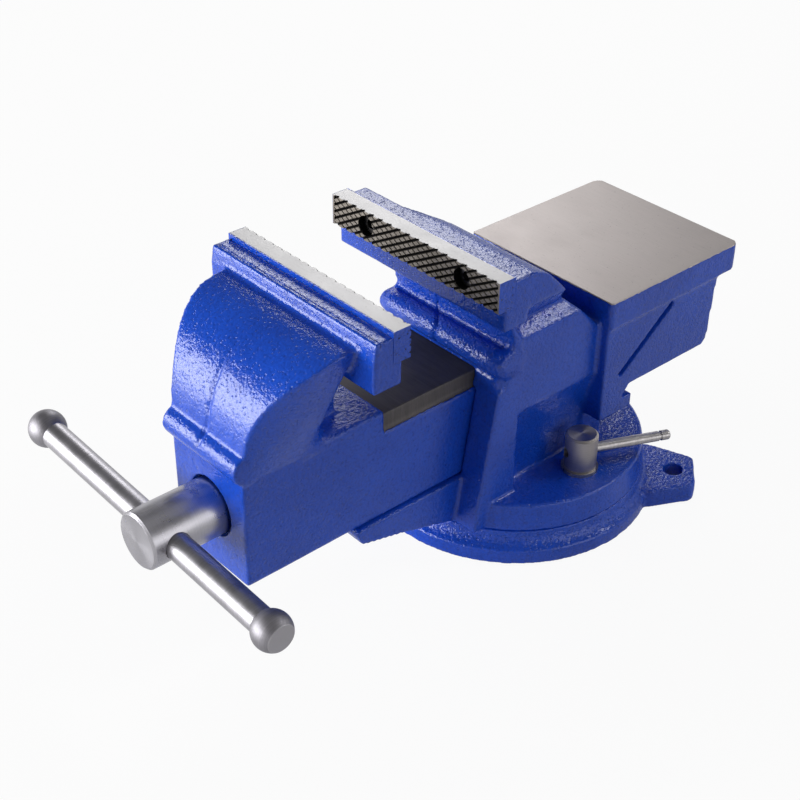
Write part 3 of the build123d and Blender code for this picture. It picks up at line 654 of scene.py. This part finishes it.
def plateMaterial(name, faceY, way):
    material, tree, shader, place = newMaterial(name)
    low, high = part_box("fixed_jaw_plate")
    split = addNode(tree, "SeparateXYZ", {0: place}).outputs
    ground = placeGroup(tree, machinedIron, {"Vector": place, **plateCut["ground"]})
    cut = placeGroup(tree, machinedIron, {"Vector": place, **plateCut["teeth"]})
    paint = placeGroup(tree, castEnamel, {"Vector": place})
    sunk = mathNode(tree, "MULTIPLY", mathNode(tree, "SUBTRACT", split[1], faceY), -way)
    # Painted shade: the toothed face goes near-black with depth into the grooves
    grooveShade = rampNode(tree, sunk, 0.00008, 0.0006)
    face = mixColor(tree, grooveShade, cut["Color"], plateCut["groove"])
    onTop = rampNode(tree, split[2], high.z - 0.0004, high.z - 0.0001)
    atEnd = rampNode(tree, mathNode(tree, "ABSOLUTE", split[0]), high.x - 0.0003, high.x - 0.0001)
    behind = rampNode(tree, sunk, high.y - low.y - 0.0003, high.y - low.y - 0.0001)
    kept = rampNode(tree, noiseNode(tree, place, 700.0), 0.30, 0.34)  # paint that hasn't flaked off
    painted = mathNode(tree, "MULTIPLY", mathNode(tree, "MAXIMUM", atEnd, behind), kept)
    color = mixColor(tree, painted, mixColor(tree, onTop, face, ground["Color"]), paint["Color"])
    tree.links.new(color, shader.inputs["Base Color"])
    rough = mixValue(tree, painted, mixValue(tree, onTop, 0.5, ground["Roughness"]), paint["Roughness"])
    tree.links.new(rough, shader.inputs["Roughness"])
    tree.links.new(rampNode(tree, painted, 0.0, 1.0, 0.9, 0.0), shader.inputs["Metallic"])
    height = mixValue(tree, painted, mathNode(tree, "MULTIPLY", cut["Height"], 0.03), paint["Height"])
    bumpInto(tree, shader, height, 1.0, enamel["relief"])
    return material


fixedPlate = makeFixedPlate()
fixedLow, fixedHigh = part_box("fixed_jaw_plate")
movingLow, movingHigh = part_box("moving_jaw_plate")
movingPlate = fixedPlate.copy()
movingPlate.data = fixedPlate.data.copy()
movingPlate.name = "movingPlate"
bpy.context.scene.collection.objects.link(movingPlate)
turnRound = Matrix.Translation((0, movingHigh.y + fixedLow.y, 0)) @ Matrix.Rotation(radians(180), 4, "Z")
movingPlate.data.transform(turnRound)
closeEnds(fixedPlate)
fixedPlate.data.materials.append(plateMaterial("plateSteelFixed", fixedLow.y, -1))
movingPlate.data.materials.append(plateMaterial("plateSteelMoving", movingHigh.y, 1))
for plate, body, node in (
    (fixedPlate, "fixed_jaw", "fixed_jaw_plate"),
    (movingPlate, "moving_jaw", "moving_jaw_plate"),
):
    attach(plate, body)
    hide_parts(node)
    print(plate.name, "triangles", triangleCount(plate))


# Turned and plain steel on the pieces that stay as they were built
steelTraits = ("light", "dark", "pitch", "relief", "rough")
steelRows = {
    "head": ((0.48, 0.47, 0.505, 1), (0.36, 0.352, 0.38, 1), 2400.0, 0.12, 0.3),
    "bar": ((0.43, 0.42, 0.45, 1), (0.33, 0.322, 0.345, 1), 900.0, 0.05, 0.4),
    "knob": ((0.31, 0.30, 0.325, 1), (0.225, 0.219, 0.238, 1), 2200.0, 0.12, 0.5),
    "bolt": ((0.52, 0.485, 0.47, 1), (0.38, 0.355, 0.345, 1), 2000.0, 0.12, 0.45),
    "rod": ((0.50, 0.48, 0.48, 1), (0.38, 0.365, 0.37, 1), 900.0, 0.05, 0.4),
    "plain": ((0.5, 0.48, 0.46, 1), (0.34, 0.33, 0.32, 1), 1500.0, 0.12, 0.3),
    "wire": ((0.22, 0.22, 0.23, 1), (0.12, 0.12, 0.13, 1), 900.0, 0.12, 0.3),
    "black": ((0.09, 0.086, 0.088, 1), (0.05, 0.048, 0.05, 1), 1500.0, 0.12, 0.3),
    "iron": ((0.20, 0.19, 0.18, 1), (0.11, 0.10, 0.095, 1), 1200.0, 0.12, 0.3),
}
steels = {name: dict(zip(steelTraits, row)) for name, row in steelRows.items()}
# Colour of the knobs' flat outer ends: faced finish, made lighter as a painted highlight as well
knobFaceLit = (0.42, 0.408, 0.43, 1)
screwAxis = (0, 0, 0.08305)
barCentre = (0, -0.2391, 0.08305)
barWay = (0.9990482, 0, -0.0436194)
lockX = 0.0553
leverZ = 0.0476
upright = (0, 0, 0)
alongY = (radians(90), 0, 0)
alongBar = (0, radians(-92.5), 0)
alongLever = (radians(90), 0, radians(-24.4))


# The knobs are faced off at their outer ends, painted a little brighter than the ball: partly the faced
# finish, partly a painted highlight on the flat end
def knobFinish(name, node):
    reach = float(np.abs((pointsOf(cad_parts[node]) - barCentre) @ barWay).max())
    litFace = {"from": reach - 0.0004, "color": knobFaceLit}
    return latheMaterial(name, barCentre, alongBar, steels["knob"], litFace=litFace)


finishes = {
    "lead_screw": latheMaterial("turnedHead", screwAxis, alongY, steels["head"], spin="Y"),
    "handle_bar": latheMaterial("drawnBar", barCentre, alongBar, steels["bar"]),
    "handle_knob_left": knobFinish("knobLeft", "handle_knob_left"),
    "handle_knob_right": knobFinish("knobRight", "handle_knob_right"),
    "lock_bolt_right": latheMaterial("lockRight", (lockX, 0, 0), upright, steels["bolt"], spin="Z"),
    "lock_bolt_left": latheMaterial("lockLeft", (-lockX, 0, 0), upright, steels["bolt"], spin="Z"),
    "take_up_spring": latheMaterial("springWire", screwAxis, alongY, steels["wire"]),
}
rod = latheMaterial("drawnRod", (lockX, 0, leverZ), alongLever, steels["rod"])
plain = latheMaterial("plainSteel", screwAxis, alongY, steels["plain"])
black = latheMaterial("blackOxide", screwAxis, upright, steels["black"])
iron = latheMaterial("bareIron", screwAxis, alongY, steels["iron"])
shared = {
    rod: ("lock_lever_right", "lock_lever_left"),
    plain: ("thrust_washer", "spring_washer", "cross_pin", "lock_washer_right", "lock_washer_left"),
    black: ("fixed_plate_screws", "moving_plate_screws", "nut_bolts"),
    iron: ("spindle_nut", "t_nut_right", "t_nut_left"),
}
for finish, nodes in shared.items():
    finishes.update({node: finish for node in nodes})
for node, finish in finishes.items():
    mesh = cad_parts[node].data
    mesh.materials.clear()
    mesh.materials.append(finish)
print("steel finishes set on", len(finishes), "nodes")


# Camera at the photograph's angle
view = {
    "lens": 68.006,
    "location": (0.49399, -0.53083, 0.54240),
    "right": (0.66348, 0.74805, 0.01081),
    "up": (-0.42644, 0.36627, 0.82696),
    "back": (0.61470, -0.55333, 0.56207),
}
cameraData = bpy.data.cameras.new("studioCamera")
cameraData.sensor_width = 36.0
cameraData.lens = view["lens"]
cameraData.clip_start = 0.01
camera = bpy.data.objects.new("studioCamera", cameraData)
axes = Matrix((view["right"], view["up"], view["back"])).transposed()
camera.matrix_world = Matrix.Translation(view["location"]) @ axes.to_4x4()
bpy.context.scene.collection.objects.link(camera)
bpy.context.scene.camera = camera


# Studio: white floor, pale surround and soft boxes
studio = {
    "floorSize": 60.0,
    "shadowShare": 0.07,
    "mirroredShare": 0.85,
    "ambient": 0.09,
    "aim": (0, -0.05, 0.1),
    "lamps": {
        "backBox": {"place": (-0.99, 0.77, 0.88), "size": (0.54, 0.52), "power": 4.8},
        "topBox": {"place": (0.15, 0.1, 1.6), "size": (1.2, 1.2), "power": 1.1},
        "frontBox": {"place": (-0.63, -1.25, 0.30), "size": (1.3, 0.66), "power": 23.5},
        "floorCard": {
            "place": (-0.53, -0.69, 0.012), "size": (0.55, 0.52), "power": 1.8, "aim": (-0.53, -0.69, 1),
        },
        "sideBox": {"place": (0.72, 1.07, 1.25), "size": (0.44, 0.44), "power": 5.6},
        "rightBox": {"place": (1.8, 0.25, 0.6), "size": (1.4, 0.9), "power": 6.0},
    },
}


def lookRays(tree):
    rays = addNode(tree, "LightPath").outputs
    seen = mathNode(tree, "MAXIMUM", rays["Is Camera Ray"], rays["Is Glossy Ray"])
    return mathNode(tree, "MAXIMUM", seen, rays["Is Transmission Ray"])


deselectAll()
bpy.ops.mesh.primitive_plane_add(size=studio["floorSize"], location=(0, 0, -0.0002))
floor = bpy.context.object
floor.name = "studioFloor"
floorPaint = bpy.data.materials.new("whiteFloor")
floorPaint.use_nodes = True
tree = floorPaint.node_tree
tree.nodes.remove(tree.nodes["Principled BSDF"])
matte = addNode(tree, "BsdfDiffuse", {"Color": (0.9, 0.9, 0.9, 1)})
glow = addNode(tree, "Emission", {"Color": (1, 1, 1, 1), "Strength": 1.0})
mirrored = addNode(tree, "LightPath").outputs["Is Glossy Ray"]
spot = addNode(tree, "TexCoord").outputs["Object"]
# Painted pool of light: in reflections the floor glows fully towards the front-left and mostly gives way to
# its lit matte towards the back-right
ahead = addNode(tree, "VectorMath", {0: spot, 1: (-0.74, -0.67, 0)}, operation="DOT_PRODUCT").outputs["Value"]
reflectedGlowPool = rampNode(tree, ahead, 0.05, 0.4, 1 - studio["mirroredShare"], 1 - studio["shadowShare"])
lit = mixValue(tree, mirrored, 1 - studio["shadowShare"], reflectedGlowPool)
share = mathNode(tree, "MULTIPLY", lookRays(tree), lit)
cover = addNode(tree, "MixShader", {0: share, 1: matte.outputs[0], 2: glow.outputs[0]})
tree.links.new(cover.outputs[0], tree.nodes["Material Output"].inputs["Surface"])
floor.data.materials.append(floorPaint)

world = bpy.data.worlds.new("studioWorld")
world.use_nodes = True
tree = world.node_tree
sky = addNode(tree, "TexCoord").outputs["Generated"]
rise = addNode(tree, "SeparateXYZ", {0: sky}).outputs[2]
shown = rampNode(tree, rise, 0.12, 0.42, 1.0, 0.16)
strength = mixValue(tree, lookRays(tree), studio["ambient"], shown)
tree.links.new(strength, tree.nodes["Background"].inputs["Strength"])
tree.nodes["Background"].inputs["Color"].default_value = (1, 1, 1, 1)
bpy.context.scene.world = world

for lampName, lamp in studio["lamps"].items():
    lampData = bpy.data.lights.new(lampName, "AREA")
    lampData.shape = "RECTANGLE"
    lampData.size, lampData.size_y = lamp["size"]
    lampData.energy = lamp["power"]
    light = bpy.data.objects.new(lampName, lampData)
    light.location = lamp["place"]
    aim = Vector(lamp.get("aim", studio["aim"])) - light.location
    light.rotation_euler = aim.to_track_quat("-Z", "Y").to_euler()
    bpy.context.scene.collection.objects.link(light)
bpy.context.scene.view_settings.view_transform = "Standard"
print("studio set")
